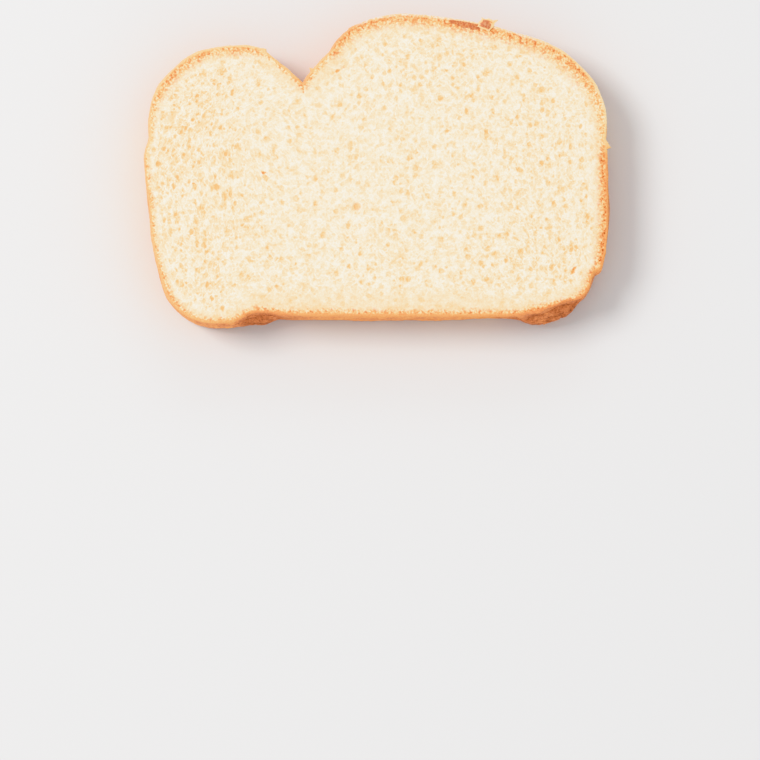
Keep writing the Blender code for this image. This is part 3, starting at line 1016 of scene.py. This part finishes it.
def bread_material(name, face):
    """Crumb and crust in one surface: a cut face shows both, the skin only crust."""
    material = bpy.data.materials.new(name)
    material.use_nodes = True
    n = Nodes(material.node_tree)
    place = n.scaled(n.add("ShaderNodeTexCoord", output="Object"), 1 / MM)
    fine = n.noise(place, FINE)
    tone, crust = browned(n, place, face)
    # Painted highlight: pale specks mixed into the colour along the glossy rim.
    colour = n.mix_colours(painted_glints(n, place), n.ramp(tone, CRUST_COLOURS), PAINTED_GLINT_COLOUR)
    colour = n.mix_colours(bare_crust(n, place), colour, PEELED_COLOUR)
    if face:
        crumb, height = crumb_surface(n, place, fine)
        colour = n.mix_colours(crust, crumb, colour)
        roughness, specular = 0.92, 0.15
    else:
        height = n.plus(skin_pattern(n, place), fine, SKIN_BUMP)
        roughness = n.step(n.named("gloss"), 0.0, 1.0, *CRUST_ROUGHNESS, smooth=False)
        roughness = n.plus(roughness, n.math("SUBTRACT", fine, 0.5), CRUST_ROUGH_GRAIN)
        specular = 0.4
    bump = {"Height": height, "Strength": 0.3, "Distance": 0.4 * MM}
    n.fill(material.node_tree.nodes["Principled BSDF"], {
        "Base Color": colour,
        "Normal": n.add("ShaderNodeBump", bump),
        "Roughness": roughness,
        "Specular IOR Level": specular,
    })
    return material


# ---- the slice

def build_slice():
    """Crumb above and below, crust round them, and the flake."""
    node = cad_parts[NODE]
    bread = Slice(node)
    flow = Flow(bread)
    crust, lower_ring, upper_ring = crust_wall(bread)
    upper = cut_face("crumb_upper", bread, flow, upper_ring, bread.top, True, HOLES, PEELED, 1)
    under = cut_face("crumb_under", bread, flow, lower_ring, bread.bottom, False, (), (), 2)
    relief_modifier(upper, face_relief(1))
    relief_modifier(under, face_relief(-1))
    relief_modifier(crust, wall_relief)
    flake = crust_flake(bread)
    crumb_look, crust_look = bread_material("crumb", True), bread_material("crust", False)
    looks = (
        (upper, crumb_look, "crumb"),
        (under, crumb_look, "crumb"),
        (crust, crust_look, "crust"),
        (flake, crust_look, "crust"),
    )
    for ob, look, slot in looks:
        ob.data.materials.clear()
        ob.data.materials.append(look)
        ob.data.shade_smooth()
        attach(ob, "root")
    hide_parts(NODE)
    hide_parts(NODE)
    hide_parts(NODE)


# ---- stage, light and camera

FLOOR_SIDE = 6.0  # metres
FLOOR_COLOUR = srgb(210, 210, 211)
FLOOR_DROP = 0.0002  # metres, so that the floor doesn't cut the slice's underside
WORLD_COLOUR = (1.0, 1.0, 1.0, 1.0)
WORLD_STRENGTH = 0.81

# Soft lights that face the slice: name, shape, place, length and height in metres, power, colour.
LIGHTS = (
    ("key", "DISK", (-0.95, 0.35, 1.05), 0.8, 0.8, 18.0, (1.0, 0.985, 0.96)),  # from the left
    ("rim", "RECTANGLE", (0.10, 1.10, 0.60), 0.7, 0.25, 2.6, (0.93, 0.97, 1.0)),  # behind the dome
    ("fill", "RECTANGLE", (0.25, -1.30, 0.45), 0.9, 0.4, 4.0, (1.0, 0.96, 0.90)),  # in front of the foot
)

CAMERA_TILT = math.radians(4.5)
CAMERA_DISTANCE = 860.0  # from the point that the middle of the picture shows
CAMERA_AIM = (0.80, -61.6, 14.0)  # that point, at the height of the upper cut face
PIXELS_PER_MM = 3.478  # there, in the 760 pixel picture
PICTURE_SIDE = 760


def build_stage():
    """A plain floor."""
    bm = bmesh.new()
    bmesh.ops.create_grid(bm, x_segments=1, y_segments=1, size=FLOOR_SIDE / 2)
    mesh = bpy.data.meshes.new("floor")
    bm.to_mesh(mesh)
    bm.free()
    floor = new_object("floor", mesh)
    floor.location.z = -FLOOR_DROP
    material = bpy.data.materials.new("floor")
    material.use_nodes = True
    Nodes(material.node_tree).fill(material.node_tree.nodes["Principled BSDF"], {
        "Base Color": FLOOR_COLOUR,
        "Roughness": 0.9,
        "Specular IOR Level": 0.1,
    })
    mesh.materials.append(material)


def add_light(name, shape, place, length, height, power, colour):
    light = bpy.data.lights.new(name, "AREA")
    light.shape = shape
    light.size = length
    light.size_y = height
    light.energy = power
    light.color = colour
    ob = bpy.data.objects.new(name, light)
    ob.location = place
    ob.rotation_euler = (-Vector(place)).to_track_quat("-Z", "Y").to_euler()
    bpy.context.scene.collection.objects.link(ob)


def build_light():
    """An even white surround, and three soft lights."""
    world = bpy.data.worlds.new("studio")
    world.use_nodes = True
    background = world.node_tree.nodes["Background"]
    background.inputs["Color"].default_value = WORLD_COLOUR
    background.inputs["Strength"].default_value = WORLD_STRENGTH
    bpy.context.scene.world = world
    for light in LIGHTS:
        add_light(*light)


def build_camera():
    """Almost straight above, at the photograph's scale."""
    look = Vector((0.0, math.sin(CAMERA_TILT), -math.cos(CAMERA_TILT)))
    camera = bpy.data.cameras.new("camera")
    camera.lens = PIXELS_PER_MM * CAMERA_DISTANCE / PICTURE_SIDE * camera.sensor_width
    ob = bpy.data.objects.new("camera", camera)
    ob.location = (Vector(CAMERA_AIM) - look * CAMERA_DISTANCE) * MM
    ob.rotation_euler = (CAMERA_TILT, 0.0, 0.0)
    bpy.context.scene.collection.objects.link(ob)
    bpy.context.scene.camera = ob


build_slice()
build_stage()
build_light()
build_camera()
bpy.context.scene.view_settings.view_transform = "Khronos PBR Neutral"
